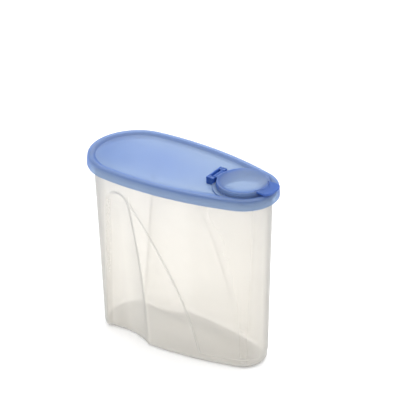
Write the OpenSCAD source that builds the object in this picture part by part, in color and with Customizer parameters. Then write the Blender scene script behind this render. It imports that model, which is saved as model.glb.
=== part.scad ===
// Cereal container with a flip spout: an egg-shaped tub with two hand grips,
// a press-fit lid with a raised rim, and a round pouring cap hinged on the lid.
// Frame: +X points to the pouring end, +Y across, +Z up, table at z = 0.
// The origin lies on the table under the middle of the lid's length.

/* [Overall size] */
// Length of the lid over its skirt, wide end to pouring end
lid_len = 230; // [200:1:250]
// Height from the table to the crown of the lid's rim
crown_z = 215.4; // [190:0.2:240]

/* [Plan outline of the lid] */
// Radius of the wide end
wide_r = 53.7; // [48:0.1:58]
// Radius of the two long sides
side_r = 384.6; // [320:0.2:460]

/* [Container wall] */
// Thickness of the container wall
wall_t = 1.6; // [1.2:0.1:2.4]
// How far the container wall stands inside the lid outline under the skirt
wall_in = 7.6; // [7.2:0.1:8.4]
// Inward lean of the wall towards the base, as run over height
wall_draft = 0.0213; // [0.01:0.001:0.03]
// Radius of the corner between wall and base
foot_r = 6.5; // [5:0.1:9]
// Rise of the domed base at its middle
dome_h = 9.6; // [3:0.1:12]
// Thickness of the base
floor_t = 1.8; // [1.4:0.1:2.6]

/* [Hand grips] */
// Distance of the grip's middle from the wide end of the lid
grip_from_end = 60; // [56:0.5:66]
// Height of the top of the arch
grip_top = 189; // [160:0.5:195]
// Radius of the arch
grip_arch_r = 17; // [14:0.5:20]
// Half width of the grip at the base, on the side of the pouring end
grip_half_front = 33; // [26:0.5:36]
// Half width of the grip at the base, on the side of the wide end
grip_half_back = 29; // [22:0.5:30]
// Depth of the rounded step round the arch
grip_step = 2.4; // [1:0.1:4]
// Further depth of the scoop at the base
grip_scoop = 8.6; // [4:0.1:10]

/* [Raised side panel] */
// Height by which the panel stands out from the strip along the base
panel_step = 0.6; // [0.3:0.1:1]
// Height of the panel's lower edge above the table
panel_z = 11.2; // [9:0.1:16]
// Distance of the panel's lower corner from the pouring end of the lid
panel_from_tip = 72; // [60:0.5:90]

/* [Lid] */
// Height of the skirt
skirt_h = 11.8; // [10:0.1:14]
// Thickness of the skirt and of the other lid walls
lid_t = 1.6; // [1.2:0.1:2]
// Width of the raised rim
rim_w = 9.5; // [9:0.1:11]
// Depth of the flat panel below the rim's crown
panel_drop = 4; // [3.5:0.1:5]

/* [Flip cap] */
// Outer radius of the round cap, which also sets the roundness of the pouring end
cap_r = 28.2; // [25:0.1:32]
// Distance from the cap's edge to the outline of the lid at the pouring end
cap_margin = 10.3; // [10.2:0.1:14]
// Height of the cap's lip above the rim's crown
cap_rise = 4; // [3.6:0.1:5]
// Depth of the dish in the cap
dish_depth = 4; // [3:0.1:4]
// Width of the thumb tab
tab_w = 27; // [18:0.5:30]
// How far the tab's outer corners are rounded back
tab_round = 3.2; // [2:0.1:4]
// Reach of the thumb tab past the tip of the lid's skirt
tab_reach = 1.6; // [0.5:0.1:4]

/* [Hinge] */
// Distance of the hinge axis from the edge of the cap
hinge_out = 3.3; // [3.2:0.1:5]
// Height of the hinge axis above the rim's crown
hinge_up = 1; // [0.9:0.1:1.1]
// Radius of the hinge pins
pin_r = 1.7; // [1.4:0.05:1.9]
// Running clearance round a pin
pin_gap = 0.05; // [0.02:0.01:0.1]
// Length of the hinge over its two lugs
hinge_len = 27; // [22:0.5:30]
// Length of the cap's knuckle between the lugs
knuckle_len = 15.4; // [12:0.2:18]

/* [Hidden] */
$fn = 72;

// plan outline: centres of the four tangent arcs
narrow_r = cap_r + cap_margin;
wide_x = wide_r - lid_len / 2;
narrow_x = lid_len / 2 - narrow_r;
arc_gap = narrow_x - wide_x;
arc_a = side_r - wide_r;
arc_b = side_r - narrow_r;
arc_run = (arc_a * arc_a - arc_b * arc_b + arc_gap * arc_gap) / (2 * arc_gap);
side_x = wide_x + arc_run;
side_y = -sqrt(arc_a * arc_a - arc_run * arc_run);
wide_ang = atan2(-side_y, wide_x - side_x);
narrow_ang = atan2(-side_y, narrow_x - side_x);

// heights
skirt_z = crown_z - skirt_h;
seat_drop = 2.1;
deck_rise = 2;
deck_out = 4.5;
seat_z = crown_z - seat_drop;
panel_top = crown_z - panel_drop;
deck_top = panel_top + deck_rise;
deck_r = cap_r + deck_out;
lip_z = crown_z + cap_rise;

// container rim, as offsets from the lid outline
rim_out = -3.4;
bead_out = -2.9;
rim_t = 1.8;
shoulder_z = skirt_z;
rim_low_z = shoulder_z + 3.4;

// outer face of the lid's seal wall, inside the container's rim
seal_gap = 0.55;
seal_out = rim_out - rim_t - seal_gap;

// grip and side panel
grip_x = grip_from_end - lid_len / 2;
arch_z = grip_top - grip_arch_r;
step_wide = 6;
step_narrow = 3.5;
line_half = 1.1;
corner_x = lid_len / 2 - panel_from_tip;
line_top_z = arch_z + 6;
line_top_x = grip_x + grip_arch_r;

// hinge and cap
hinge_x = narrow_x - cap_r - hinge_out;
hinge_z = crown_z + hinge_up;
lug_r = 2.9;
knuckle_r = 2.6;
lug_gap = 0.3;
lug_side = (hinge_len - knuckle_len) / 2 - lug_gap;
neck_low = 1.6;
neck_t = 3.6;
stop_t = 1.7;
stop_gap = 4.3;
hole_in = 5.15;
plug_gap = 0.35;
dish_in = 1.6;
hole_r = cap_r - hole_in;
plug_r = hole_r - plug_gap;
plug_draft = 0.8;
plug_t = 1.4;
plug_reach = 8;
collar_reach = 9.5;
plug_low = crown_z - plug_reach;
collar_low = crown_z - collar_reach;
dish_r = cap_r - dish_in;
cap_t = 1.5;

container_colour = [0.93, 0.93, 0.91, 0.6];
lid_colour = [0.42, 0.56, 0.83, 0.9];
cap_colour = [0.40, 0.54, 0.82, 0.9];

function lerp(a, b, t) = a + (b - a) * t;
function clamp01(t) = min(1, max(0, t));
function smooth(t) = clamp01(t) * clamp01(t) * (3 - 2 * clamp01(t));

// half width of the outline, moved out by off, at the lengthwise position x
function outline_y(x, off) =
    let (wx = wide_x + (wide_r + off) * cos(wide_ang))
    let (nx = narrow_x + (narrow_r + off) * cos(narrow_ang))
    x < wx ? sqrt(max(0, pow(wide_r + off, 2) - pow(x - wide_x, 2)))
    : x > nx ? sqrt(max(0, pow(narrow_r + off, 2) - pow(x - narrow_x, 2)))
    : side_y + sqrt(pow(side_r + off, 2) - pow(x - side_x, 2));

// offset of the container's outer wall from the lid outline at height z
function wall_off(z) = -wall_in - wall_draft * (skirt_z - min(z, skirt_z));

// edges of the grip at height z; above the arch they run on close together
function arch_half(z) = sqrt(max(4, pow(grip_arch_r, 2) - pow(z - arch_z, 2)));
function grip_front(z) =
    z > arch_z ? arch_half(z)
    : lerp(grip_arch_r, grip_half_front, 1 - pow(z / arch_z, 2));
function grip_back(z) =
    z > arch_z ? arch_half(z) : lerp(grip_arch_r, grip_half_back, 1 - z / arch_z);

// slanting edge of the raised side panel at height z
function line_t(z) = clamp01((z - panel_z) / (line_top_z - panel_z));
function line_x(z) =
    lerp(corner_x, line_top_x, 0.4 * line_t(z) + 0.6 * line_t(z) * line_t(z))
    + 0.02 * max(0, z - line_top_z);
function line_fade(z) = clamp01((line_top_z - z) / 14);

// depth of the grip: a rounded step round the arch and a scoop that deepens
// towards the base; q runs from 1 at the front edge to -1 at the back edge
function scoop_at(z) = 1 + grip_scoop * (1 - pow(min(z, arch_z) / arch_z, 2));
function grip_depth(q, z) =
    let (half = q > 0 ? grip_front(z) : grip_back(z))
    let (up = max(0, z - arch_z))
    let (rad = sqrt(pow(q * half, 2) + up * up))
    let (edge = z > arch_z ? max(0, grip_arch_r - rad) : (1 - abs(q)) * half)
    let (far = z > arch_z ? min(1, rad / grip_arch_r) : abs(q))
    let (ramp = q > 0 ? lerp(step_narrow, step_wide, clamp01(z / arch_z)) : step_wide)
    let (step = grip_step * lerp(1, clamp01(z / arch_z), (q + 1) / 2))
    z > grip_top ? 0
    : step * smooth(edge / ramp) + scoop_at(z) * (1 - far * far);

// columns of the wall grid over one half, pouring tip to wide end
n_tip = 7;
n_front = 4;
n_mid = 3;
grip_q = [1, 0.88, 0.72, 0.5, 0.25, 0, -0.25, -0.5, -0.68, -0.8, -0.9, -1];
n_grip = len(grip_q) - 1;
n_end = 7;
c_front = n_tip + n_front;
c_line = c_front + 1;
c_mid = c_line + n_mid;
c_grip = c_mid + n_grip;
c_last = c_grip + n_end;

// point of column k at height z, on the outline moved out by off
function side_point(x, off, push) = [x, outline_y(x, off) - push];
function column(k, off, z, keep) =
    let (nx = narrow_x + (narrow_r + off) * cos(narrow_ang))
    let (lx = line_x(z))
    let (low = z < panel_z + 0.01 ? 1 : 0)
    let (sunk = panel_step * max(low, line_fade(z)))
    let (o_out = off - panel_step * low)
    let (o_in = off - sunk)
    let (gx = grip_x + grip_front(z))
    let (bx = grip_x - grip_back(z))
    let (end_a = acos((bx - wide_x) / (wide_r + off)))
    k <= n_tip
    ? let (a = narrow_ang * k / n_tip)
      [narrow_x + (narrow_r + o_out) * cos(a), (narrow_r + o_out) * sin(a)]
    : k <= c_front
    ? side_point(lerp(nx, lx + line_half, (k - n_tip) / n_front), o_out, 0)
    : k <= c_line
    ? side_point(lx - line_half, o_in, 0)
    : k <= c_mid
    ? side_point(lerp(lx - line_half, gx, (k - c_line) / n_mid), o_in, 0)
    : k <= c_grip
    ? let (q = grip_q[k - c_mid])
      let (x = grip_x + q * (q > 0 ? grip_front(z) : grip_back(z)))
      side_point(x, lerp(off, o_in, (q + 1) / 2), keep * grip_depth(q, z))
    : let (a = lerp(end_a, 180, (k - c_grip) / n_end))
      [wide_x + (wide_r + off) * cos(a), (wide_r + off) * sin(a)];

// one closed ring of the grid; keep fades the grip out of it
function ring(off, z, keep = 1) = [
    for (k = [0 : 2 * c_last - 1])
        let (p = column(k <= c_last ? k : 2 * c_last - k, off, z, keep))
        [p[0], k <= c_last ? p[1] : -p[1], z]
];

// rows of the outer skin: offset, height at which the grip is read, height
foot_angles = [0, 22.5, 45, 67.5, 90];
wall_rows = [panel_z, panel_z + 1.6, 22, 38, 56, 75, 94, 113, 131, 147, 160];
arch_rows = [0, 15, 30, 45, 58, 70, 80, 90];
outer_rows = concat(
    [for (a = foot_angles)
        let (z = foot_r * (1 - cos(a)))
        [wall_off(z) - foot_r * (1 - sin(a)), z]],
    [for (z = wall_rows) [wall_off(z), z]],
    [for (a = arch_rows)
        let (z = arch_z + grip_arch_r * sin(a))
        [wall_off(z), z]],
    [[-wall_in, shoulder_z], [-wall_in + 0.5, shoulder_z + 1.4],
     [-wall_in + 2.1, shoulder_z + 2.6], [rim_out, rim_low_z],
     [rim_out, rim_low_z + 1], [bead_out, rim_low_z + 1.5],
     [bead_out, rim_low_z + 2.1], [rim_out, rim_low_z + 2.6],
     [rim_out, seat_z - 0.5], [rim_out - 0.5, seat_z]]
);

// rows of the inner skin, base to rim
inner_rows = concat(
    [for (a = foot_angles)
        let (z = foot_r - (foot_r - floor_t) * cos(a))
        let (r = foot_r - wall_t)
        [wall_off(z) - wall_t - r * (1 - sin(a)), z]],
    [for (z = wall_rows) if (z > panel_z) [wall_off(z) - wall_t, z]],
    [for (a = arch_rows)
        let (z = arch_z + grip_arch_r * sin(a))
        [wall_off(z) - wall_t, z]],
    [[-wall_in - wall_t, shoulder_z + 1], [-wall_in - wall_t + 0.9, shoulder_z + 2.8],
     [rim_out - rim_t - 0.7, rim_low_z + 0.7], [rim_out - rim_t, rim_low_z + 1.5],
     [rim_out - rim_t, seat_z - 0.5], [rim_out - rim_t + 0.5, seat_z]]
);

// rings of the domed base, from the foot to the middle
foot_mid_x = -8;
dome_s = [0.93, 0.8, 0.62, 0.42, 0.22, 0.05];
function dome_z(s) = dome_h * pow(1 - pow(min(1, s / dome_s[0]), 2), 2);
function dome_ring(off, s, dz) = [
    for (p = ring(off, 0, s > dome_s[1] ? 1 : pow(s, 1.5)))
        [lerp(foot_mid_x, p[0], s), p[1] * s, dome_z(s) + dz]
];

module container_skin() {
    cols = 2 * c_last;
    rings = concat(
        [for (i = [len(dome_s) - 1 : -1 : 0]) dome_ring(outer_rows[0][0], dome_s[i], 0)],
        [for (r = outer_rows) ring(r[0], r[1])],
        [for (i = [len(inner_rows) - 1 : -1 : 0]) ring(inner_rows[i][0], inner_rows[i][1])],
        [for (s = dome_s) dome_ring(inner_rows[0][0], s, floor_t)]
    );
    count = len(rings);
    mids = [
        [foot_mid_x, 0, dome_h],
        [foot_mid_x, 0, dome_h + floor_t]
    ];
    points = concat([for (r = rings) for (p = r) p], mids);
    walls = [
        for (i = [0 : count - 2])
            for (k = [0 : cols - 1])
                let (a = i * cols + k)
                let (b = i * cols + (k + 1) % cols)
                let (flip = k < c_last)
                for (tri = flip
                    ? [[a, a + cols, b + cols], [a, b + cols, b]]
                    : [[a, a + cols, b], [b, a + cols, b + cols]]) tri
    ];
    ends = concat(
        [for (k = [0 : cols - 1]) [k, (k + 1) % cols, count * cols]],
        [for (k = [0 : cols - 1])
            let (a = (count - 1) * cols + k)
            [(count - 1) * cols + (k + 1) % cols, a, count * cols + 1]]
    );
    polyhedron(points = points, faces = concat(walls, ends), convexity = 8);
}

// columns of the lid over one half, pouring tip to wide end
n_rim_tip = 12;
n_rim_side = 12;
n_rim_end = 12;
n_rim_half = n_rim_tip + n_rim_side + n_rim_end;

// point of column k on the lid outline moved out by off
function on_arc(x, y, r, a) = [x + r * cos(a), y + r * sin(a)];
function rim_point(k, off) =
    k > n_rim_half
    ? let (p = rim_point(2 * n_rim_half - k, off)) [p[0], -p[1]]
    : k <= n_rim_tip
    ? on_arc(narrow_x, 0, narrow_r + off, narrow_ang * k / n_rim_tip)
    : k <= n_rim_tip + n_rim_side
    ? on_arc(side_x, side_y, side_r + off, lerp(narrow_ang, wide_ang, (k - n_rim_tip) / n_rim_side))
    : on_arc(wide_x, 0, wide_r + off, lerp(wide_ang, 180, (k - n_rim_tip - n_rim_side) / n_rim_end));

// flat shape inside the outline moved in by off
module inside_outline(off) {
    polygon([for (k = [0 : 2 * n_rim_half - 1]) rim_point(k, off)]);
}

// section of the lid as offset and height: panel edge, raised rim, skirt, seat,
// seal wall and the underside of the panel
function lid_section(c, p) = [
    [-rim_w - 3, p], [-rim_w - 0.9, p + 0.4], [-rim_w - 0.25, p + 1.3],
    [-rim_w, c - 2.4], [-8.4, c - 1.3], [-6.8, c - 0.5], [-5, c - 0.05],
    [-3.4, c], [-2.1, c - 0.35], [-1.3, c - 1.1], [-0.9, c - 2.2],
    [-0.3, skirt_z + 4.6], [0, skirt_z + 0.4], [-0.3, skirt_z],
    [-lid_t + 0.3, skirt_z], [-lid_t, skirt_z + 0.3], [-1.9, skirt_z + 4.6],
    [-2.6, seat_z - 0.6], [-3.1, seat_z], [seal_out, seat_z],
    [seal_out, skirt_z + 5.4], [seal_out - 0.3, skirt_z + 4.9],
    [seal_out - lid_t + 0.3, skirt_z + 4.9], [seal_out - lid_t, skirt_z + 5.4],
    [seal_out - lid_t, seat_z - 0.4], [-rim_w + 1.2, c - 2.6],
    [-rim_w + 0.5, p - 0.2], [-rim_w - 0.6, p - lid_t + 0.3],
    [-rim_w - 2.2, p - lid_t - 0.2]
];

// the section carried round the outline, closed by the flat panel
module lid_shell() {
    section = lid_section(crown_z, panel_top);
    cols = 2 * n_rim_half;
    last = len(section) - 1;
    points = [
        for (s = section)
            for (k = [0 : cols - 1])
                let (p = rim_point(k, s[0])) [p[0], p[1], s[1]]
    ];
    sides = [
        for (i = [0 : last - 1])
            for (k = [0 : cols - 1])
                let (a = i * cols + k)
                let (b = i * cols + (k + 1) % cols)
                for (tri = k < n_rim_half
                    ? [[a, b, b + cols], [a, b + cols, a + cols]]
                    : [[a, b, a + cols], [b, b + cols, a + cols]]) tri
    ];
    flats = [
        [for (k = [cols - 1 : -1 : 0]) k],
        [for (k = [0 : cols - 1]) last * cols + k]
    ];
    polyhedron(points = points, faces = concat(sides, flats), convexity = 8);
}

// outline of a hinge lug seen from the side, with its foot on the lid
module lug_shape() {
    translate([hinge_x, hinge_z]) circle(r = lug_r, $fn = 48);
    polygon([
        [hinge_x - lug_r, hinge_z], [hinge_x + lug_r, hinge_z],
        [hinge_x + lug_r, panel_top - 0.8], [hinge_x - lug_r, panel_top - 0.8]
    ]);
}

module across(y, len) {
    translate([0, y + len / 2, 0])
        rotate([90, 0, 0])
            linear_extrude(len) children();
}

module container() {
    color(container_colour) container_skin();
}

module lid() {
    color(lid_colour) difference() {
        union() {
            lid_shell();
            // round deck under the cap
            translate([0, 0, panel_top - 0.9])
                intersection() {
                    translate([narrow_x, 0, 0])
                        cylinder(r = deck_r, h = deck_top - panel_top + 0.9, $fn = 96);
                    linear_extrude(deck_top - panel_top + 0.9) inside_outline(-rim_w + 0.6);
                }
            // pouring collar under the deck
            translate([narrow_x, 0, collar_low])
                cylinder(r = hole_r + plug_t, h = deck_top - collar_low, $fn = 96);
            // two lugs and the stop wall behind them
            for (s = [1, -1])
                across(s * (hinge_len - lug_side) / 2, lug_side) lug_shape();
            translate([hinge_x - stop_gap - stop_t, -hinge_len / 2, panel_top - 0.8])
                cube([stop_t, hinge_len, lip_z - panel_top + 0.8]);
            for (s = [1, -1])
                translate([hinge_x - stop_gap - 0.2, s * (hinge_len - stop_t) / 2 - stop_t / 2, panel_top - 0.8])
                    cube([stop_gap - 1.5, stop_t, hinge_z + 1.6 - panel_top]);
        }
        translate([narrow_x, 0, collar_low - 1])
            cylinder(r = hole_r, h = deck_top - collar_low + 2, $fn = 96);
        translate([hinge_x, hinge_len / 2 + 1, hinge_z])
            rotate([90, 0, 0])
                cylinder(r = pin_r + pin_gap, h = hinge_len + 2, $fn = 48);
    }
}

// height of the dish at radius r
function dish_z(r) = lip_z - dish_depth * (1 - pow(r / dish_r, 3.2));

module cap_section() {
    steps = 14;
    top = [for (i = [0 : steps]) [dish_r * i / steps, dish_z(dish_r * i / steps)]];
    low = [for (i = [steps - 2 : -1 : 0]) [dish_r * i / steps, dish_z(dish_r * i / steps) - cap_t]];
    polygon(concat(
        top,
        [[dish_r + 0.5, lip_z + 0.05], [cap_r - 0.4, lip_z - 0.1], [cap_r, lip_z - 0.6],
         [cap_r, deck_top + 0.3], [cap_r - 0.3, deck_top], [cap_r - 1.2, deck_top],
         [cap_r - 1.5, deck_top + 0.3], [cap_r - 1.5, lip_z - 3]],
        low
    ));
}

module plug_section() {
    polygon([
        [plug_r, deck_top + 0.3], [plug_r - plug_draft, plug_low + 0.4],
        [plug_r - plug_draft - 0.3, plug_low], [plug_r - plug_draft - 1, plug_low],
        [plug_r - plug_t - 0.4, plug_low + 0.4], [plug_r - plug_t, dish_z(plug_r - plug_t) - 0.7],
        [plug_r, dish_z(plug_r) - 0.7]
    ]);
}

// front edge of the thumb tab, t from -1 at one side to 1 at the other
function tab_edge(t) = [
    narrow_x + sqrt(pow(narrow_r + tab_reach, 2) - pow(t * tab_w / 2, 2)) - tab_round * pow(abs(t), 7),
    t * tab_w / 2
];

module flip_cap() {
    color(cap_colour) union() {
        translate([narrow_x, 0, 0]) {
            rotate_extrude($fn = 96) cap_section();
            rotate_extrude($fn = 96) plug_section();
        }
        // thumb tab over the rim
        translate([0, 0, crown_z + 1.8])
            linear_extrude(cap_rise - 1.8)
                difference() {
                    polygon(concat(
                        [[narrow_x, -tab_w / 2]],
                        [for (i = [-20 : 20]) tab_edge(i / 20)],
                        [[narrow_x, tab_w / 2]]
                    ));
                    translate([narrow_x, 0]) circle(r = dish_r - 1.2, $fn = 96);
                }
        // knuckle, its neck and the two pins
        across(0, knuckle_len) {
            translate([hinge_x, hinge_z]) circle(r = knuckle_r, $fn = 48);
            translate([hinge_x, hinge_z - neck_low]) square([hinge_out + 1, neck_t]);
        }
        across(0, hinge_len - 1) translate([hinge_x, hinge_z]) circle(r = pin_r, $fn = 48);
    }
}

container();
lid();
flip_cap();
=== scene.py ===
"""Looks of the cereal container with flip spout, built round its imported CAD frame.

The frame's three bodies are container, lid and flip_cap. Lengths in the
formulas below are millimetres, as in the part's source, and every mesh is
turned to metres when it is made. +X points to the pouring end, z = 0 is the
table. All shapes are surfaces over two parameters, worked out as whole arrays.
"""

import math

import bpy
import numpy as np
from mathutils import Matrix, Vector


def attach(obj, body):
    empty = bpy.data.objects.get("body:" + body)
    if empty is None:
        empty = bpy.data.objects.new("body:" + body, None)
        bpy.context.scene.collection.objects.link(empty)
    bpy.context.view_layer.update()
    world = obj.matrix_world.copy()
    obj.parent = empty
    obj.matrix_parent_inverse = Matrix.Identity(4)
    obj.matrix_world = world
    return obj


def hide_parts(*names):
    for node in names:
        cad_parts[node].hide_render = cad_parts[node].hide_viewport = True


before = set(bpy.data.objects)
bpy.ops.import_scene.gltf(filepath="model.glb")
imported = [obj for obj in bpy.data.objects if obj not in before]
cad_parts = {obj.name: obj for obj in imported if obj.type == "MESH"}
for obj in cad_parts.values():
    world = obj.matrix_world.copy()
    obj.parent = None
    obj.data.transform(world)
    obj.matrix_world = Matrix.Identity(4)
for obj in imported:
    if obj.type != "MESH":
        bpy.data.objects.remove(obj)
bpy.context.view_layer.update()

MM = 0.001

# Sizes in millimetres, as in the part's source, whose panel has no dish
# lid outline: its length and the radii of its wide end, narrow end and long sides
LID_LEN, WIDE_R, NARROW_R, SIDE_R = 230.0, 53.7, 38.5, 384.6
# heights: lower edge of the skirt, seat on the container, panel, round deck, crown of the rim, lip of the cap
SKIRT_Z, SEAT_Z, PANEL, DECK, CROWN, LIP = 203.6, 213.3, 211.4, 213.4, 215.4, 219.4
# container wall: thickness, distance inside the lid outline, draft as a share of the height
WALL_T, WALL_IN, DRAFT = 1.6, 7.6, 0.0213
# base: radius of the foot, the floor's thickness and middle, the dome's rise and its share of the base
FOOT_R, FLOOR_T, FOOT_MID, DOME_H, DOME_EDGE = 6.5, 1.8, -8.0, 9.6, 0.93
# gate mark: place and radius
GATE_X, GATE_R = -0.3, 2.2
# container rim: outer face, bead and thickness
RIM_OUT, BEAD_OUT, RIM_T = -3.4, -2.9, 1.8
# hand grip: middle, top and arch; half widths at the base, depths of its step and scoop, widths of its step
GRIP_X, GRIP_TOP, ARCH_R = -55.0, 189.0, 17.0
GRIP_FRONT, GRIP_BACK, GRIP_STEP, GRIP_SCOOP = 33.0, 29.0, 2.4, 8.6
STEP_WIDE, STEP_NARROW = 6.0, 3.5
# side panel: its step, level and height of its lower edge, the height over which it fades out at the top
PANEL_STEP, PANEL_Z, PANEL_RISE, PANEL_FADE = 0.6, 11.2, 1.6, 14.0
# slanting edge of the panel: its corner near the pouring end, half its width
CORNER_X, LINE_HALF = 43.0, 1.1
# lid: thickness, width of the rim, radius of the deck, dish of the panel, outer face of the seal wall
LID_T, RIM_W, DECK_R, PANEL_DISH, SEAL_OFF = 1.6, 9.5, 32.7, 1.0, -5.75
# cap: its radius, radius and depth of the dish, thickness
CAP_R, DISH_R, DISH_DEPTH, CAP_T = 28.2, 26.6, 4.0, 1.5
# pouring hole and plug: radii, plug's thickness, lower edges of plug and collar
HOLE_R, PLUG_R, PLUG_T, PLUG_LOW, COLLAR_LOW = 23.05, 22.7, 1.4, 207.4, 205.9
# hinge: its axis and radii, then lengths, the stop wall, free play, and the neck above and below the axis
HINGE_X, HINGE_Z, PIN_R, LUG_R, KNUCKLE_R = 45.0, 216.4, 1.7, 2.9, 2.6
HINGE_LEN, KNUCKLE_LEN, STOP_T, STOP_GAP = 27.0, 15.4, 1.7, 4.3
PIN_GAP, LUG_GAP, NECK_UP, NECK_LOW = 0.05, 0.3, 2.0, 1.6
# thumb tab: width, reach past the lid outline, how far its corners are drawn back
TAB_W, TAB_REACH, TAB_ROUND = 27.0, 1.6, 3.2

# Depth of colour, 0 to 1, by how much plastic lies behind the skin; masks add painted shade on the panel and
# on the cap's side next to the hinge
PANEL_DEPTH, SKIRT_DEPTH, RIM_DEPTH = 0.3, 0.06, 0.36
CAP_DEPTH, TAB_DEPTH, HINGE_DEPTH = 0.16, 0.82, 0.86

# Columns of the container's half grid, feature by feature
TIP_COLS, FRONT_COLS, STEP_COLS, MID_COLS, GRIP_COLS, END_COLS = 25, 18, 8, 12, 52, 24
# Columns of the lid's half grid: pouring tip, long side, wide end
LID_COLS = 36, 34, 40

# Moulded plastic: refractive index, and height of its fine grain in metres
PP_IOR, GRAIN_RISE = 1.49, 0.00002

# Least divisor; angles in degrees over which edges of the hinge and of the tab are drawn sharp
TINY, HINGE_FLAT, TAB_FLAT = 1e-6, 50, 60

WIDE_X = WIDE_R - LID_LEN / 2
NARROW_X = LID_LEN / 2 - NARROW_R
ARCH_Z = GRIP_TOP - ARCH_R
LINE_TOP_Z = ARCH_Z + 6
LINE_TOP_X = GRIP_X + ARCH_R

# Circle inside the collar's wall where the panel and the deck end
SEAM_R = HOLE_R + LID_T / 2

# Centres of the two long side arcs, tangent to both end arcs
_gap = NARROW_X - WIDE_X
_a, _b = SIDE_R - WIDE_R, SIDE_R - NARROW_R
_run = (_a * _a - _b * _b + _gap * _gap) / (2 * _gap)
SIDE_X = WIDE_X + _run
SIDE_Y = -math.sqrt(_a * _a - _run * _run)
WIDE_ANG = math.atan2(-SIDE_Y, WIDE_X - SIDE_X)
NARROW_ANG = math.atan2(-SIDE_Y, NARROW_X - SIDE_X)


# Small maths
def lerp(a, b, t):
    """The way from a at t = 0 to b at t = 1, in a straight line."""
    return a + (b - a) * t


def clamp01(t):
    """t, kept between 0 and 1."""
    return np.clip(t, 0.0, 1.0)


def smooth(t):
    """Rounded step from 0 to 1: three times t squared less twice t cubed."""
    t = clamp01(t)
    return t * t * (3 - 2 * t)


def steps(count):
    """Even steps from 0 towards 1, which is left out, as one row."""
    return np.linspace(0, 1, count, endpoint=False)[None]


def rounded(points, radius=0.5, count=4):
    """A section line with each inner corner replaced by a short parabola: it
    leaves the line at most radius before the corner and meets it as far after."""
    p = np.asarray(points, float)
    before, mid, after = p[:-2], p[1:-1], p[2:]
    len_in = np.linalg.norm(mid - before, axis=1, keepdims=True)
    len_out = np.linalg.norm(after - mid, axis=1, keepdims=True)
    cut_in = np.minimum(radius, 0.45 * len_in)
    cut_out = np.minimum(radius, 0.45 * len_out)
    start = mid + (before - mid) / len_in * cut_in
    end = mid + (after - mid) / len_out * cut_out
    t = np.linspace(0, 1, count + 1)[None, :, None]
    bends = (1 - t) ** 2 * start[:, None] + 2 * t * (1 - t) * mid[:, None] + t * t * end[:, None]
    return np.vstack([p[:1], bends.reshape(-1, 2), p[-1:]])


def box_line(x0, x1, y0, y1, soft):
    """Outline of a rectangle with rounded corners, counterclockwise."""
    a = np.linspace(0, math.pi / 2, 6)
    corners = [
        (x1 - soft, y1 - soft, 0), (x0 + soft, y1 - soft, 1),
        (x0 + soft, y0 + soft, 2), (x1 - soft, y0 + soft, 3),
    ]
    return np.vstack([
        np.stack([x + soft * np.cos(a + n * math.pi / 2), y + soft * np.sin(a + n * math.pi / 2)], -1)
        for x, y, n in corners
    ])


# Mesh making
def surface(name, grid, body, poles=True, flat_angle=None, depth=0.0):
    """Makes one closed mesh from a grid of points, rows by columns. Columns
    wrap round. Rows either end in two poles, each the mean of its end row, or
    wrap round as well. Faces are turned so that the enclosed volume is positive.
    depth, 0 to 1, says how much plastic lies behind each point of the skin, and in places carries painted
    shade."""
    rows, cols = grid.shape[:2]
    points = grid.reshape(-1, 3)
    k = np.arange(cols)
    k1 = (k + 1) % cols
    last = rows - 1 if poles else rows
    i = np.arange(last)[:, None]
    i1 = (i + 1) % rows
    quads = np.stack([i * cols + k, i * cols + k1, i1 * cols + k1, i1 * cols + k], -1).reshape(-1, 4)
    tris = np.zeros((0, 3), int)
    if poles:
        points = np.vstack([points, grid[0].mean(0), grid[-1].mean(0)])
        n = rows * cols
        tris = np.vstack([
            np.stack([k1, k, np.full(cols, n)], -1),
            np.stack([(rows - 1) * cols + k, (rows - 1) * cols + k1, np.full(cols, n + 1)], -1),
        ])
    a = points[quads]
    volume = (a[:, 0] * np.cross(a[:, 1], a[:, 2])).sum() + (a[:, 0] * np.cross(a[:, 2], a[:, 3])).sum()
    b = points[tris]
    volume += (b[:, 0] * np.cross(b[:, 1], b[:, 2])).sum()
    if volume < 0:
        quads, tris = quads[:, ::-1], tris[:, ::-1]
    loops = np.concatenate([quads.ravel(), tris.ravel()]).astype(np.int32)
    totals = np.concatenate([np.full(len(quads), 4), np.full(len(tris), 3)]).astype(np.int32)
    starts = (np.cumsum(totals) - totals).astype(np.int32)
    mesh = bpy.data.meshes.new(name)
    mesh.vertices.add(len(points))
    mesh.vertices.foreach_set("co", (points * MM).astype(np.float32).ravel())
    mesh.loops.add(len(loops))
    mesh.loops.foreach_set("vertex_index", loops)
    mesh.polygons.add(len(totals))
    mesh.polygons.foreach_set("loop_start", starts)
    mesh.update(calc_edges=True)
    mesh.polygons.foreach_set("use_smooth", np.ones(len(totals), bool))
    if flat_angle is not None:
        mesh.set_sharp_from_angle(angle=math.radians(flat_angle))
    depth = np.broadcast_to(depth, (rows, cols)).astype(float)
    values = np.concatenate([depth.ravel(), [depth[0].mean(), depth[-1].mean()] if poles else []])
    mesh.attributes.new("depth", "FLOAT", "POINT").data.foreach_set("value", values.astype(np.float32))
    mesh.validate()
    piece = bpy.data.objects.new(name, mesh)
    bpy.context.scene.collection.objects.link(piece)
    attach(piece, body)
    return piece


def revolve(section, x=NARROW_X, columns=128):
    """Grid of a section, radius against height, turned round the upright line at x."""
    s = np.asarray(section, float)
    a = np.linspace(0, 2 * math.pi, columns, endpoint=False)
    r, z = s[:, :1], s[:, 1:]
    return np.stack([x + r * np.cos(a), r * np.sin(a), z + 0 * a], -1)


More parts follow.
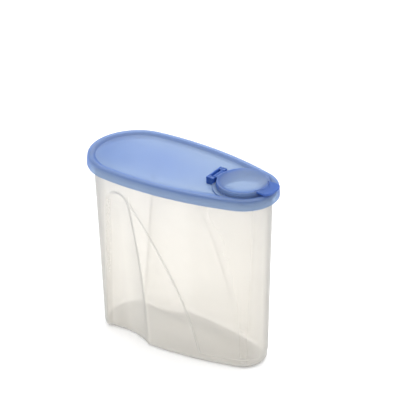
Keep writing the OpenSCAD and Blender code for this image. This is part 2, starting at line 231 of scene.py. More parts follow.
def slab(outline, low, high, soft):
    """Grid of a flat plate over a closed outline. Rows run from the underside,
    round the edge by two quarter circles of radius soft, to the top. The first
    and last rows lie a little further in, on the flat faces."""
    o = np.asarray(outline, float)
    t = np.roll(o, -1, 0) - np.roll(o, 1, 0)
    normal = np.stack([t[:, 1], -t[:, 0]], -1) / np.linalg.norm(t, axis=1, keepdims=True)
    if (o[:, 0] * np.roll(o[:, 1], -1) - np.roll(o[:, 0], -1) * o[:, 1]).sum() < 0:
        normal = -normal
    a = np.linspace(0, math.pi / 2, 6)
    inset = np.concatenate([[2.2 * soft], soft * (1 - np.sin(a)), soft * (1 - np.cos(a)), [2.2 * soft]])
    z = np.concatenate([[low], low + soft * (1 - np.cos(a)), high - soft * (1 - np.sin(a)), [high]])
    xy = o[None] - inset[:, None, None] * normal[None]
    return np.concatenate([xy, np.broadcast_to(z[:, None, None], xy.shape[:2] + (1,))], -1)


def ring_slab(inner, outer, low, high, soft):
    """Grid of a plate with a hole: each row blends the hole's outline into the
    outer one, and the rows go once round the plate's section. Outer edges turn
    by quarter circles of radius soft, the hole's by a quarter as much."""
    width = np.linalg.norm(outer - inner, axis=1)[None, :, None]
    a = np.linspace(0, math.pi / 2, 5)
    edge, rise = soft * (1 - np.cos(a)), soft * (1 - np.sin(a))
    inset = np.concatenate([edge, edge[::-1]])
    z = np.concatenate([high - rise, low + rise[::-1]])
    far = 1 - inset[:, None, None] / width
    near = 0.25 * soft * np.array([1, 0, 0, 1])[:, None, None] / width
    s = np.concatenate([far, near])
    heights = np.concatenate([z, [low, low + 0.25 * soft, high - 0.25 * soft, high]])
    xy = inner[None] + s * (outer - inner)[None]
    return np.concatenate([xy, np.broadcast_to(heights[:, None, None], xy.shape[:2] + (1,))], -1)


def upright(grid, y=0.0):
    """Turns a plate that was laid out in x and height to stand across the part at y."""
    g = grid[..., [0, 2, 1]].copy()
    g[..., 1] += y
    return g


def mirror(half):
    """Adds the other side to a grid of columns that run from the pouring tip to
    the wide end on the +Y side."""
    back = half[:, -2:0:-1].copy()
    back[..., 1] *= -1
    return np.concatenate([half, back], 1)


# Container
def outline_y(x, off):
    """Half width at x of the lid outline moved out by off: an arc of each end
    and, between their tangent points, the long side's arc."""
    wx = WIDE_X + (WIDE_R + off) * math.cos(WIDE_ANG)
    nx = NARROW_X + (NARROW_R + off) * math.cos(NARROW_ANG)
    wide = np.sqrt(np.maximum(0, (WIDE_R + off) ** 2 - (x - WIDE_X) ** 2))
    narrow = np.sqrt(np.maximum(0, (NARROW_R + off) ** 2 - (x - NARROW_X) ** 2))
    side = SIDE_Y + np.sqrt(np.maximum(0, (SIDE_R + off) ** 2 - (x - SIDE_X) ** 2))
    return np.where(x < wx, wide, np.where(x > nx, narrow, side))


def wall_off(z):
    """Offset of the container's wall from the lid outline at height z: less by
    the draft times how far z lies under the skirt's lower edge."""
    return -WALL_IN - DRAFT * (SKIRT_Z - np.minimum(z, SKIRT_Z))


def grip_half(z, front):
    """Half width of the hand grip at height z, towards the pouring end or away:
    the arch's circle at the top, and under it a width that grows to the base,
    in front as one less the square of the height's share, at the back evenly."""
    least = 2.0
    arch = np.sqrt(np.maximum(least ** 2, ARCH_R ** 2 - (z - ARCH_Z) ** 2))
    u = clamp01(z / ARCH_Z)
    low = lerp(ARCH_R, GRIP_FRONT, 1 - u * u) if front else lerp(ARCH_R, GRIP_BACK, 1 - u)
    return np.where(z > ARCH_Z, arch, low)


def line_x(z):
    """Slanting edge of the raised side panel: a parabola from the corner near
    the base to the shoulder of the grip's arch, then nearly straight up."""
    t = clamp01((z - PANEL_Z) / (LINE_TOP_Z - PANEL_Z))
    return lerp(CORNER_X, LINE_TOP_X, 0.4 * t + 0.6 * t * t) + 0.02 * np.maximum(0, z - LINE_TOP_Z)


def grip_depth(q, z):
    """Depth of the grip at q, 1 on its front edge to -1 on its back edge: a
    rounded step round the arch, and a scoop, 1 mm deep at the arch, that deepens
    to the base as one less the square of the height's share."""
    half = np.where(q > 0, grip_half(z, True), grip_half(z, False))
    up = np.maximum(0, z - ARCH_Z)
    rad = np.hypot(q * half, up)
    above = z > ARCH_Z
    edge = np.where(above, np.maximum(0, ARCH_R - rad), (1 - np.abs(q)) * half)
    far = np.where(above, np.minimum(1, rad / ARCH_R), np.abs(q))
    u = clamp01(z / ARCH_Z)
    ramp = np.where(q > 0, lerp(STEP_NARROW, STEP_WIDE, u), STEP_WIDE)
    step = GRIP_STEP * lerp(1.0, u, (q + 1) / 2)
    scoop = 1 + GRIP_SCOOP * (1 - u * u)
    return np.where(z > GRIP_TOP, 0, step * smooth(edge / ramp) + scoop * (1 - far * far))


def wall_grid(off, read, z, keep, s):
    """Grid of the container's skin. Each row is a ring of the outline at
    offset off, shaped as at height read and placed at height z; s draws it in
    towards the middle of the base and keep fades the grip out of it. Columns
    follow the feature lines: tip arc, panel, its slanting edge, grip, end arc."""
    off, read, z, keep, s = (np.asarray(v, float)[:, None] for v in (off, read, z, keep, s))
    low = 1 - smooth((read - PANEL_Z) / PANEL_RISE)
    fade = clamp01((LINE_TOP_Z - read) / PANEL_FADE)
    out = off - PANEL_STEP * low
    inn = off - PANEL_STEP * np.maximum(low, fade)
    nx = NARROW_X + (NARROW_R + off) * math.cos(NARROW_ANG)
    lx = line_x(read)
    gx = GRIP_X + grip_half(read, True)
    bx = GRIP_X - grip_half(read, False)

    a = NARROW_ANG * steps(TIP_COLS)
    tip = [NARROW_X + (NARROW_R + out) * np.cos(a), (NARROW_R + out) * np.sin(a)]
    t = steps(FRONT_COLS)
    x = lerp(nx, lx + LINE_HALF, t)
    front = [x, outline_y(x, out)]
    t = steps(STEP_COLS)
    x = lerp(lx + LINE_HALF, lx - LINE_HALF, t)
    step = [x, outline_y(x, lerp(out, inn, smooth(t)))]
    t = steps(MID_COLS)
    x = lerp(lx - LINE_HALF, gx, t)
    mid = [x, outline_y(x, inn)]
    # q follows a cosine, so that columns stand closer near both edges of the grip
    t = steps(GRIP_COLS)
    q = np.cos(math.pi * lerp(t, smooth(t), -0.35))
    x = GRIP_X + q * np.where(q > 0, grip_half(read, True), grip_half(read, False))
    grip = [x, outline_y(x, lerp(off, inn, (q + 1) / 2)) - keep * grip_depth(q, read)]
    end_a = np.arccos((bx - WIDE_X) / (WIDE_R + off))
    a = lerp(end_a, math.pi, np.linspace(0, 1, END_COLS)[None])
    x = WIDE_X + (WIDE_R + off) * np.cos(a)
    end = [x, outline_y(x, off)]

    xs = np.hstack([p[0] for p in (tip, front, step, mid, grip, end)])
    ys = np.hstack([p[1] for p in (tip, front, step, mid, grip, end)])
    ys[:, -1] = 0
    half = np.stack([lerp(FOOT_MID, xs, s), ys * s, z + 0 * xs], -1)
    return mirror(half)


def dome_z(s):
    """Rise of the base at s, 0 in its middle to 1 at its edge: the square of s
    over the dome's share, taken from one, and squared again."""
    return DOME_H * (1 - np.minimum(1, s / DOME_EDGE) ** 2) ** 2


def dome_keep(s):
    """Share of the grip's shape that the base keeps at s: the power 1.5 of s,
    then a straight rise to all of it at the dome's edge."""
    turn, power = 0.8, 1.5
    rise = clamp01((s - turn) / (DOME_EDGE - turn))
    return np.where(s <= turn, s ** power, lerp(turn ** power, 1, rise))


def build_container():
    """The tub as one closed skin of real thickness: middle of the underside,
    foot, outer wall, rim, inner wall, and back to the middle of the floor.
    The gate mark is a low button on the floor's dome, where the plastic came in."""
    foot = np.radians(np.linspace(0, 90, 9))
    # rings of the wall: up to the panel's edge, over it, up to the arch, along it, to the shoulder
    heights = np.concatenate([
        np.linspace(FOOT_R, PANEL_Z, 4)[1:-1],
        np.linspace(PANEL_Z, PANEL_Z + PANEL_RISE, 6),
        np.linspace(PANEL_Z + 4, ARCH_Z, 50),
        ARCH_Z + ARCH_R * np.sin(np.linspace(0, math.pi / 2, 16))[1:],
        np.linspace(GRIP_TOP, SKIRT_Z - 1.5, 4)[1:],
    ])
    # the rim's section, offset and height: shoulder, bead, seat for the lid, shoulder inside
    inside, rim_in = -WALL_IN - WALL_T, RIM_OUT - RIM_T
    rim = rounded([
        [-WALL_IN - 0.02, SKIRT_Z - 1], [-WALL_IN, SKIRT_Z], [-7.1, 205], [-5.5, 206.2],
        [RIM_OUT, 207], [RIM_OUT, 208], [BEAD_OUT, 208.5], [BEAD_OUT, 209.1],
        [RIM_OUT, 209.6], [RIM_OUT, SEAT_Z], [rim_in, SEAT_Z], [rim_in, 208.5],
        [-5.9, 207.7], [-8.3, 206.4], [inside, 204.6], [inside, SKIRT_Z - 1],
    ], 0.45, 3)
    s = np.linspace(0.03, 0.985, 22)
    one, floor_off = np.ones_like, wall_off(0) - FOOT_R
    z_out = FOOT_R * (1 - np.cos(foot))
    r_in = FOOT_R - WALL_T
    z_in = FOOT_R - (FOOT_R - FLOOR_T) * np.cos(foot)
    foot_in = wall_off(z_in) - WALL_T - r_in * (1 - np.sin(foot))
    inner_off = wall_off(FLOOR_T) - WALL_T - r_in
    down = heights[::-1]
    # for each stretch of the skin, what wall_grid takes: off, read, z, keep and s
    rows = [
        (0 * s + floor_off, 0 * s, dome_z(s), dome_keep(s), s),
        (wall_off(z_out) - FOOT_R * (1 - np.sin(foot)), z_out, z_out, one(foot), one(foot)),
        (wall_off(heights), heights, heights, one(heights), one(heights)),
        (rim[:, 0], rim[:, 1], rim[:, 1], one(rim[:, 0]), one(rim[:, 0])),
        (wall_off(down) - WALL_T, down, down, one(down), one(down)),
        (foot_in[::-1], z_in[::-1], z_in[::-1], one(foot), one(foot)),
        ((0 * s + inner_off)[::-1], 0 * s, (dome_z(s) + FLOOR_T)[::-1], dome_keep(s)[::-1], s[::-1]),
    ]
    grid = wall_grid(*(np.concatenate([r[i] for r in rows]) for i in range(5)))
    read = np.concatenate([r[1] for r in rows])[:, None]
    # painted shade: depth is 1 along the middle of the panel's slanting edge, on both sides, where the skin
    # is drawn greyer and less clear
    start = TIP_COLS + FRONT_COLS
    half = np.zeros((1, grid.shape[1] // 2 + 1, 3))
    half[0, start:start + STEP_COLS, 0] = np.sin(math.pi * steps(STEP_COLS)[0])
    ends = smooth((read - PANEL_Z) / 3) * clamp01((GRIP_TOP - read) / PANEL_FADE)
    painted_edge_shade = mirror(half)[..., 0] * ends
    tub = surface("container_body", grid, "container", depth=painted_edge_shade)
    top = DOME_H + FLOOR_T
    mark = rounded([
        [0.1, top + 0.7], [GATE_R - 0.5, top + 0.6], [GATE_R, top - 0.2], [0.1, top - 0.4],
    ], 0.3, 3)
    gate = surface("container_gate_mark", revolve(mark, GATE_X, 32), "container")
    return [tub, gate]


# Lid
def outline_columns(n_tip, n_side, n_end):
    """Centre, radius and angle of each column round the lid outline, one half."""
    counts = [n_tip, n_side, n_end + 1]
    angle = np.concatenate([
        np.linspace(0, NARROW_ANG, n_tip, endpoint=False),
        np.linspace(NARROW_ANG, WIDE_ANG, n_side, endpoint=False),
        np.linspace(WIDE_ANG, math.pi, n_end + 1),
    ])
    x, y = np.repeat([NARROW_X, SIDE_X, WIDE_X], counts), np.repeat([0, SIDE_Y, 0], counts)
    return x, y, np.repeat([NARROW_R, SIDE_R, WIDE_R], counts), angle


def sweep(section, shrink, hole):
    """Grid of a section, offset against height, carried round the lid outline.
    shrink draws rows in to the circle of radius hole round the cap's centre:
    each point moves along the straight line to that centre, 1 leaves it where
    it is and 0 puts it on the circle."""
    cx, cy, r, a = outline_columns(*LID_COLS)
    s = np.asarray(section, float)
    off, z = s[:, :1], s[:, 1:]
    x, y = cx + (r + off) * np.cos(a), cy + (r + off) * np.sin(a)
    y[:, -1] = 0
    k = np.asarray(shrink, float)[:, None]
    near = hole / np.hypot(x - NARROW_X, y)
    draw = lerp(near, 1, k)
    return mirror(np.stack([lerp(NARROW_X, x, draw), y * draw, z + 0 * x], -1))


def lid_shell():
    """Slightly dished panel, raised rim, skirt, seat and seal wall in one sweep.
    The panel rises to the rim as the fourth power of the way out. Its colour is
    painted light and shade: deepest in an oval in its wide part, paler to its edges."""
    c, p, seal = CROWN, PANEL, SEAL_OFF
    line = rounded([
        [-RIM_W - 3, p + PANEL_DISH], [-RIM_W - 0.5, c - 2.75], [-RIM_W, c - 2.4],
        [-8.4, c - 1.3], [-6.8, c - 0.5], [-5, c - 0.05], [-3.4, c], [-2.1, c - 0.35], [-1.3, c - 1.1],
        [-0.9, c - 2.2], [-0.3, SKIRT_Z + 4.6], [0, SKIRT_Z + 0.4], [-0.3, SKIRT_Z], [-LID_T + 0.3, SKIRT_Z],
        [-LID_T, SKIRT_Z + 0.3], [-1.9, SKIRT_Z + 4.6], [-2.6, SEAT_Z - 0.6], [-3.1, SEAT_Z], [seal, SEAT_Z],
        [seal, SKIRT_Z + 5.4], [seal - 0.3, SKIRT_Z + 4.9], [seal - LID_T + 0.3, SKIRT_Z + 4.9],
        [seal - LID_T, SKIRT_Z + 5.4], [seal - LID_T, SEAT_Z - 0.4], [-RIM_W + 1.2, c - 2.6],
        [-RIM_W + 0.8, p + 0.4], [-RIM_W - 0.4, p - 0.4], [-RIM_W - 2.2, p + PANEL_DISH - LID_T],
    ], 0.6, 3)
    k = np.linspace(0, 0.975, 16)
    dish = PANEL_DISH * k ** 4
    section = np.vstack([
        np.stack([0 * k - RIM_W - 3, p + dish], -1), line,
        np.stack([0 * k - RIM_W - 2.2, p - LID_T + dish[::-1]], -1),
    ])
    shrink = np.concatenate([k, np.ones(len(line)), k[::-1]])
    grid = sweep(section, shrink, SEAM_R)
    off, z = section[:, :1], section[:, 1:]
    rim = smooth((off + RIM_W + 0.2) / 1.5) * lerp(SKIRT_DEPTH, RIM_DEPTH, smooth((z - c + 4) / 2))
    # painted light and shade: the panel's colour deepens in an oval over its wide part and pales towards its
    # edges
    across = grid[..., 1] / (LID_LEN / 5)
    along = (grid[..., 0] / LID_LEN + 0.28) * 1.8
    painted_shade_oval = clamp01(1.1 - across ** 2 - along ** 2)
    depth = np.maximum(rim, PANEL_DEPTH * lerp(0.45, 1.3, painted_shade_oval))
    return surface("lid_shell", grid, "lid", poles=False, depth=depth)


def lid_deck():
    """Round deck under the cap, cut off where it meets the rim. Its edge is the
    nearer of the deck's circle and the rim's inner line, found along each ray
    from the cap's centre."""
    a = np.linspace(0, 2 * math.pi, 160, endpoint=False)
    dx, clip = NARROW_X - SIDE_X, 0.6 - RIM_W
    along = dx * np.cos(a) - SIDE_Y * np.abs(np.sin(a))
    reach = -along + np.sqrt(along ** 2 + (SIDE_R + clip) ** 2 - dx ** 2 - SIDE_Y ** 2)
    tip = np.abs(np.angle(np.exp(1j * a))) < NARROW_ANG
    reach = np.minimum(DECK_R, np.where(tip, NARROW_R + clip, reach))
    soft, turn = 0.5, np.linspace(0, math.pi / 2, 6)[:, None]
    inner, low = 0 * reach + SEAM_R, PANEL - 0.5
    r = np.vstack([inner, reach - soft * (1 - np.sin(turn)), reach, inner])
    z = np.concatenate([[DECK], DECK - soft * (1 - np.cos(turn[:, 0])), [low, low]])[:, None] + 0 * r
    grid = np.stack([NARROW_X + r * np.cos(a), r * np.sin(a), z], -1)
    return surface("lid_round_deck", grid, "lid", poles=False, depth=SKIRT_DEPTH)


def lid_collar():
    """Collar of the pouring hole: a thin upright ring with rounded ends."""
    top, out = DECK + 0.25, HOLE_R + 1.4
    wall = rounded([
        [HOLE_R + 0.7, top], [out, top], [out, COLLAR_LOW],
        [HOLE_R, COLLAR_LOW], [HOLE_R, top], [HOLE_R + 0.7, top],
    ], 0.35, 3)[:-1]
    return surface("lid_pouring_collar", revolve(wall), "lid", poles=False, depth=SKIRT_DEPTH)


def lid_hinge():
    """Stop wall, and on each side a lug with the pin's hole and a web between
    the two. A lug's outline is a rectangle softened by a power mean of its sides."""
    a = np.linspace(0, 2 * math.pi, 64, endpoint=False)
    cos, sin = np.cos(a), np.sin(a)
    low, high = PANEL - 0.8, LIP - 0.02
    stop_x = HINGE_X - STOP_GAP
    flank = np.where(cos > 0, LUG_R, LUG_R + 0.2) / np.maximum(np.abs(cos), TINY)
    end = np.where(sin > 0, high - 0.3 - HINGE_Z, HINGE_Z - low) / np.maximum(np.abs(sin), TINY)
    reach = (flank ** -8 + end ** -8) ** (-1 / 8)
    centre = np.array([HINGE_X, HINGE_Z])
    ring = np.stack([cos, sin], -1)
    hole, outer = centre + (PIN_R + PIN_GAP) * ring, centre + reach[:, None] * ring
    lug = (HINGE_LEN - KNUCKLE_LEN) / 2 - LUG_GAP
    stop = slab(box_line(stop_x - STOP_T, stop_x, low, high, 0.45), -HINGE_LEN / 2, HINGE_LEN / 2, 0.4)
    web = box_line(stop_x - 0.6, HINGE_X - LUG_R + 0.6, low, high - 0.35, 0.3)
    web = slab(web, -lug / 2, lug / 2, 0.35)
    pieces = [surface("lid_stop_wall", upright(stop), "lid", True, HINGE_FLAT, HINGE_DEPTH)]
    for side, name in ((1, "left"), (-1, "right")):
        y = side * (HINGE_LEN - lug) / 2
        grid = upright(ring_slab(hole, outer, -lug / 2, lug / 2, 0.4), y)
        pieces.append(surface(f"lid_hinge_lug_{name}", grid, "lid", False, HINGE_FLAT, HINGE_DEPTH))
        grid = upright(web, y)
        pieces.append(surface(f"lid_hinge_web_{name}", grid, "lid", True, HINGE_FLAT, HINGE_DEPTH))
    return pieces


def build_lid():
    """The lid: its shell, and the deck, collar and hinge seated in the panel."""
    return [lid_shell(), lid_deck(), lid_collar(), *lid_hinge()]


# Flip cap
def dish_z(r):
    """Height of the dish at radius r: it rises to the lip as the power 3.2."""
    return LIP - DISH_DEPTH * (1 - (r / DISH_R) ** 3.2)


def cap_dish():
    """Dish, lip and outer wall as one turned shell. The lip looks deeper, and the
    side next to the hinge is darkened with painted shade."""
    r = DISH_R * np.linspace(0.02, 1, 26)
    lip = rounded([
        [DISH_R, LIP], [DISH_R + 0.5, LIP + 0.02], [CAP_R - 0.4, LIP - 0.1], [CAP_R, LIP - 0.6],
        [CAP_R, DECK + 0.3], [CAP_R - 0.3, DECK + 0.02], [CAP_R - 1.2, DECK + 0.02],
        [CAP_R - 1.5, DECK + 0.3], [CAP_R - 1.5, LIP - 3],
    ], 0.35, 3)
    low = r[:-2][::-1]
    section = np.vstack([
        np.stack([r, dish_z(r)], -1), lip[1:], np.stack([low, dish_z(low) - CAP_T], -1),
    ])
    grid = revolve(section)
    edge = smooth((section[:, :1] / DISH_R - 0.8) / 0.2) * smooth((section[:, 1:] - LIP + 2) / 1.5)
    # painted shade: deeper blue on the dish's side next to the hinge
    painted_hinge_shade = smooth((NARROW_X - 0.35 * CAP_R - grid[..., 0]) / (0.5 * CAP_R))
    depth = CAP_DEPTH + edge * (RIM_DEPTH - CAP_DEPTH) + (0.2 + 0.15 * edge) * painted_hinge_shade
    return surface("cap_dish", grid, "flip_cap", depth=depth)


def cap_plug():
    """Sealing plug: a ring under the dish that tapers in at its lower edge."""
    inner = PLUG_R - PLUG_T
    plug = rounded([
        [PLUG_R, DECK + 0.3], [PLUG_R - 0.8, PLUG_LOW + 0.4], [PLUG_R - 1.1, PLUG_LOW],
        [PLUG_R - 1.8, PLUG_LOW], [inner - 0.4, PLUG_LOW + 0.4], [inner, dish_z(inner) - 0.7],
        [PLUG_R, dish_z(PLUG_R) - 0.7], [PLUG_R, DECK + 0.3],
    ], 0.3, 3)[:-1]
    return surface("cap_plug", revolve(plug), "flip_cap", poles=False, depth=SKIRT_DEPTH)


def cap_tab():
    """Thumb tab: a plate between two arcs round the cap's centre. The outer arc
    draws back at its ends as the seventh power of the angle."""
    half, reach = TAB_W / 2, NARROW_R + TAB_REACH
    inner = DISH_R - 1.0
    end, back = math.asin(half / reach), math.asin(half / inner)
    far = np.linspace(-end, end, 40)
    near = np.linspace(back, -back, 30)
    tip = NARROW_X + reach * np.cos(far) - TAB_ROUND * np.abs(far / end) ** 7
    line = np.vstack([
        np.stack([tip, reach * np.sin(far)], -1),
        np.stack([NARROW_X + inner * np.cos(near), inner * np.sin(near)], -1),
    ])
    grid = slab(line, CROWN + 1.8, LIP - 0.01, 0.45)
    return surface("cap_thumb_tab", grid, "flip_cap", True, TAB_FLAT, TAB_DEPTH)


def cap_hinge():
    """Knuckle with its neck, which runs 1 mm into the cap's wall, and the pins
    that stick out of both its ends."""
    a = np.linspace(0, 2 * math.pi, 96, endpoint=False)
    cos, sin = np.cos(a), np.sin(a)
    run = NARROW_X - CAP_R + 1 - HINGE_X
    neck = np.where(sin > 0, NECK_UP, NECK_LOW) / np.maximum(np.abs(sin), TINY)
    neck = np.minimum(run / np.maximum(cos, TINY), neck)
    knuckle = np.where(cos > 0, np.maximum(KNUCKLE_R, neck), KNUCKLE_R)
    pieces = []
    for name, reach, length, soft in (
        ("cap_knuckle", knuckle, KNUCKLE_LEN, 0.3), ("cap_hinge_pins", PIN_R, HINGE_LEN - 1, 0.25),
    ):
        line = np.stack([HINGE_X + reach * cos, HINGE_Z + reach * sin], -1)
        grid = upright(slab(line, -length / 2, length / 2, soft))
        pieces.append(surface(name, grid, "flip_cap", True, HINGE_FLAT, HINGE_DEPTH))
    return pieces


def build_cap():
    """The flip cap: its dish, plug and thumb tab, and the moving half of the hinge."""
    return [cap_dish(), cap_plug(), cap_tab(), *cap_hinge()]


# Materials
def srgb(code):
    """Linear colour of an sRGB hex code, with alpha 1."""
    v = np.array([int(code[i:i + 2], 16) / 255 for i in (1, 3, 5)])
    v = np.where(v <= 0.04045, v / 12.92, ((v + 0.055) / 1.055) ** 2.4)
    return (*(float(x) for x in v), 1.0)


def add(tree, kind, inputs=None, **settings):
    """Adds one node: settings are its properties, inputs its sockets by name or
    number, each a value or another node's output to link. By number, a colour
    Mix has its factor at 0 and its colours at 6 and 7, and a Map Range has its
    limits at 1 and 2 and what they become at 3 and 4."""
    n = tree.nodes.new(kind)
    for name, value in settings.items():
        setattr(n, name, value)
    for socket, value in (inputs or {}).items():
        if isinstance(value, bpy.types.NodeSocket):
            tree.links.new(value, n.inputs[socket])
        else:
            n.inputs[socket].default_value = value
    return n


def material(name, colour):
    """A new material with an empty tree and a preview colour."""
    m = bpy.data.materials.new(name)
    m.use_nodes = True
    m.diffuse_color = srgb(colour)
    m.node_tree.nodes.clear()
    return m, m.node_tree


def per_mm(size):
    """Texture scale for a pattern of this size in millimetres."""
    return 1 / (size * MM)


def moulded_skin(t, place, body, matt, grain_mm, relief, through, see, share):
    """Puts the skin of a moulded plastic together. Its milky part is a glossy
    surface of colour body with fine grain, mixed by through with a glow that
    lets light pass; the rest, share of the whole, is clear and tinted see."""
    grain = add(t, "ShaderNodeTexNoise", {"Vector": place, "Scale": per_mm(grain_mm), "Detail": 2.0})
    bump = add(t, "ShaderNodeBump", {
        "Height": grain.outputs["Fac"], "Strength": relief, "Distance": GRAIN_RISE,
    })
    skin = add(t, "ShaderNodeBsdfPrincipled", {
        "Base Color": body, "Roughness": matt, "Normal": bump.outputs[0], "IOR": PP_IOR,
    })
    glow = add(t, "ShaderNodeBsdfTranslucent", {"Color": body})
    milk = add(t, "ShaderNodeMixShader", {0: through, 1: skin.outputs[0], 2: glow.outputs[0]})
    clear = add(t, "ShaderNodeBsdfTransparent", {"Color": see})
    wall = add(t, "ShaderNodeMixShader", {0: share, 1: milk.outputs[0], 2: clear.outputs[0]})
    add(t, "ShaderNodeOutputMaterial", {"Surface": wall.outputs[0]})


def frosted_pp():
    """Natural polypropylene, injection moulded with a fine matt tool: milky, and
    clear enough that the far wall's edges show through as soft lines. A sloping
    line of sight passes more plastic, so steep stretches turn denser and greyer.
    Along the panel's slanting edge, where the mesh's depth attribute is 1, a grey,
    less clear line is painted shade. The eye gets faint cloudy flow marks some
    30 mm across and a silky, uneven gloss."""
    m, t = material("natural_polypropylene", "#F3F1EC")
    place = add(t, "ShaderNodeTexCoord").outputs["Object"]
    cloud = add(t, "ShaderNodeTexNoise", {
        "Vector": place, "Scale": per_mm(30), "Detail": 3.0, "Roughness": 0.5,
    }).outputs["Fac"]
    tint = add(t, "ShaderNodeMix", {0: cloud, 6: srgb("#F3F1EC"), 7: srgb("#EBE9E5")}, data_type="RGBA")
    matt = add(t, "ShaderNodeMapRange", {"Value": cloud, 3: 0.3, 4: 0.38})
    steep = add(t, "ShaderNodeLayerWeight", {"Blend": 0.4}).outputs["Facing"]
    slant = add(t, "ShaderNodeMapRange", {"Value": steep, 1: 0.34, 2: 0.9})
    # painted shade: the depth attribute marks a grey, less clear line along the panel's slanting edge
    painted_edge_shade = add(t, "ShaderNodeAttribute", attribute_name="depth").outputs["Fac"]
    dense_and_painted_shade = add(t, "ShaderNodeMath", {
        0: painted_edge_shade, 1: 0.55, 2: slant.outputs[0],
    }, operation="MULTIPLY_ADD", use_clamp=True)
    body = add(t, "ShaderNodeMix", {
        0: dense_and_painted_shade.outputs[0], 6: tint.outputs[2], 7: srgb("#A4A4A2"),
    }, data_type="RGBA").outputs[2]
    share = add(t, "ShaderNodeMapRange", {"Value": steep, 3: 0.84, 4: 0.1})
    share = add(t, "ShaderNodeMath", {
        0: painted_edge_shade, 1: -0.35, 2: share.outputs[0],
    }, operation="MULTIPLY_ADD").outputs[0]
    moulded_skin(t, place, body, matt.outputs[0], 0.8, 0.3, 0.35, srgb("#FDFCFA"), share)
    return m


def blue_pp(name, gloss):
    """Blue-tinted polypropylene, moulded glossy. Part of the light passes each
    skin and takes on the tint, so a single wall looks pale, and the rim, the
    cap's edge and the hinge, which have more plastic behind them, deeper. The
    mesh's depth attribute, 0 to 1, says how much, and a steep line of sight adds
    to it; on the panel and the cap's hinge side it also carries painted shade.
    The eye gets a clean soft sheen with flow marks some 40 mm across."""
    m, t = material(name, "#7FA2D6")
    place = add(t, "ShaderNodeTexCoord").outputs["Object"]
    cloud = add(t, "ShaderNodeTexNoise", {
        "Vector": place, "Scale": per_mm(40), "Detail": 2.0, "Roughness": 0.45,
    }).outputs["Fac"]
    depth = add(t, "ShaderNodeAttribute", attribute_name="depth").outputs["Fac"]
    flow = add(t, "ShaderNodeMapRange", {"Value": cloud, 3: -0.06, 4: 0.06})
    steep = add(t, "ShaderNodeLayerWeight", {"Blend": 0.5}).outputs["Facing"]
    slant = add(t, "ShaderNodeMapRange", {"Value": steep, 1: 0.55, 2: 0.95, 3: 0.0, 4: 0.65})
    more = add(t, "ShaderNodeMath", {0: flow.outputs[0], 1: slant.outputs[0]}, operation="ADD")
    # the colour's depth: plastic behind the skin and the slant, plus painted shade where the depth attribute
    # carries it
    thick_and_painted_shade = add(t, "ShaderNodeMath", {
        0: depth, 1: more.outputs[0],
    }, operation="ADD", use_clamp=True).outputs[0]
    body = add(t, "ShaderNodeMix", {
        0: thick_and_painted_shade, 6: srgb("#ABBED6"), 7: srgb("#2E6CC6"),
    }, data_type="RGBA").outputs[2]
    see = add(t, "ShaderNodeMix", {
        0: thick_and_painted_shade, 6: srgb("#D8E3EE"), 7: srgb("#6EA0E2"),
    }, data_type="RGBA").outputs[2]
    share = add(t, "ShaderNodeMapRange", {"Value": thick_and_painted_shade, 3: 0.58, 4: 0.3}).outputs[0]
    matt = add(t, "ShaderNodeMapRange", {"Value": cloud, 3: gloss, 4: gloss + 0.06}).outputs[0]
    moulded_skin(t, place, body, matt, 1.2, 0.15, 0.3, see, share)
    return m


def studio_floor():
    """Plain white seamless paper: matt, with a trace of pulp mottling."""
    m, t = material("white_paper_floor", "#FFFFFF")
    place = add(t, "ShaderNodeTexCoord").outputs["Object"]
    pulp = add(t, "ShaderNodeTexNoise", {"Vector": place, "Scale": per_mm(3), "Detail": 2.0})
    tint = add(t, "ShaderNodeMix", {
        0: pulp.outputs["Fac"], 6: srgb("#FEFEFE"), 7: srgb("#FBFBFB"),
    }, data_type="RGBA")
    bsdf = add(t, "ShaderNodeBsdfPrincipled", {"Base Color": tint.outputs[2], "Roughness": 0.9})
    add(t, "ShaderNodeOutputMaterial", {"Surface": bsdf.outputs[0]})
    return m


# The object
natural = frosted_pp()
lid_blue = blue_pp("lid_blue_polypropylene", 0.3)
cap_blue = blue_pp("cap_blue_polypropylene", 0.29)
for piece in build_container():
    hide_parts("container")
    piece.data.materials.append(natural)
for pieces, node, blue in ((build_lid(), "lid", lid_blue), (build_cap(), "flip_cap", cap_blue)):
    for piece in pieces:
        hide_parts(node)
        piece.data.materials.append(blue)


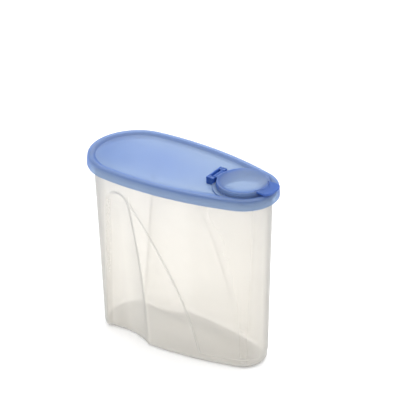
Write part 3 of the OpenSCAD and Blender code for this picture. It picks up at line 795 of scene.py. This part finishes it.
# Studio
def floor_sheet():
    """A flat square of paper 8 m across, at table height."""
    mesh = bpy.data.meshes.new("studio_floor")
    half = 4.0
    corners = [(-half, -half, 0), (half, -half, 0), (half, half, 0), (-half, half, 0)]
    mesh.from_pydata(corners, [], [(0, 1, 2, 3)])
    sheet = bpy.data.objects.new("studio_floor", mesh)
    bpy.context.scene.collection.objects.link(sheet)
    sheet.data.materials.append(studio_floor())


def softbox(name, place, aim, size, watts):
    """A square white soft light at place, in metres, facing aim."""
    data = bpy.data.lights.new(name, "AREA")
    data.shape, data.size, data.energy = "SQUARE", size, watts
    lamp = bpy.data.objects.new(name, data)
    bpy.context.scene.collection.objects.link(lamp)
    lamp.location = place
    lamp.rotation_euler = (Vector(aim) - Vector(place)).to_track_quat("-Z", "Y").to_euler()


def camera():
    """The camera that fits the photograph's outline: a long lens from the front
    right, 29 degrees above the table."""
    right = Vector((0.82765, 0.56109, -0.01328))
    up = Vector((-0.26218, 0.40745, 0.87478))
    back = Vector((0.49624, -0.72053, 0.48433))
    nudge = 0.000547  # the fit's last small shift, in metres
    place = Vector((0.91292, -1.29325, 1.04856)) - nudge * right + nudge * up
    data = bpy.data.cameras.new("camera")
    data.lens, data.sensor_width = 151.54, 36.0
    data.clip_end = 50
    cam = bpy.data.objects.new("camera", data)
    bpy.context.scene.collection.objects.link(cam)
    cam.matrix_world = Matrix((
        (right.x, up.x, back.x, place.x), (right.y, up.y, back.y, place.y),
        (right.z, up.z, back.z, place.z), (0, 0, 0, 1),
    ))
    bpy.context.scene.camera = cam


floor_sheet()
camera()
world = bpy.data.worlds.new("studio")
world.use_nodes = True
world.node_tree.nodes["Background"].inputs["Color"].default_value = srgb("#FFFFFF")
world.node_tree.nodes["Background"].inputs["Strength"].default_value = 0.75
bpy.context.scene.world = world
softbox("overhead", (0.1, 0.2, 1.7), (0, 0, 0.1), 1.8, 22)
softbox("key", (-1.1, -0.9, 0.9), (0, 0, 0.1), 0.6, 6)
softbox("back", (0.7, 1.3, 0.7), (0, 0, 0.1), 0.8, 4)
softbox("sheen", (-0.203, 0.294, 0.43), (0.02, -0.03, 0.212), 0.16, 0.28)
bpy.context.scene.view_settings.view_transform = "Standard"
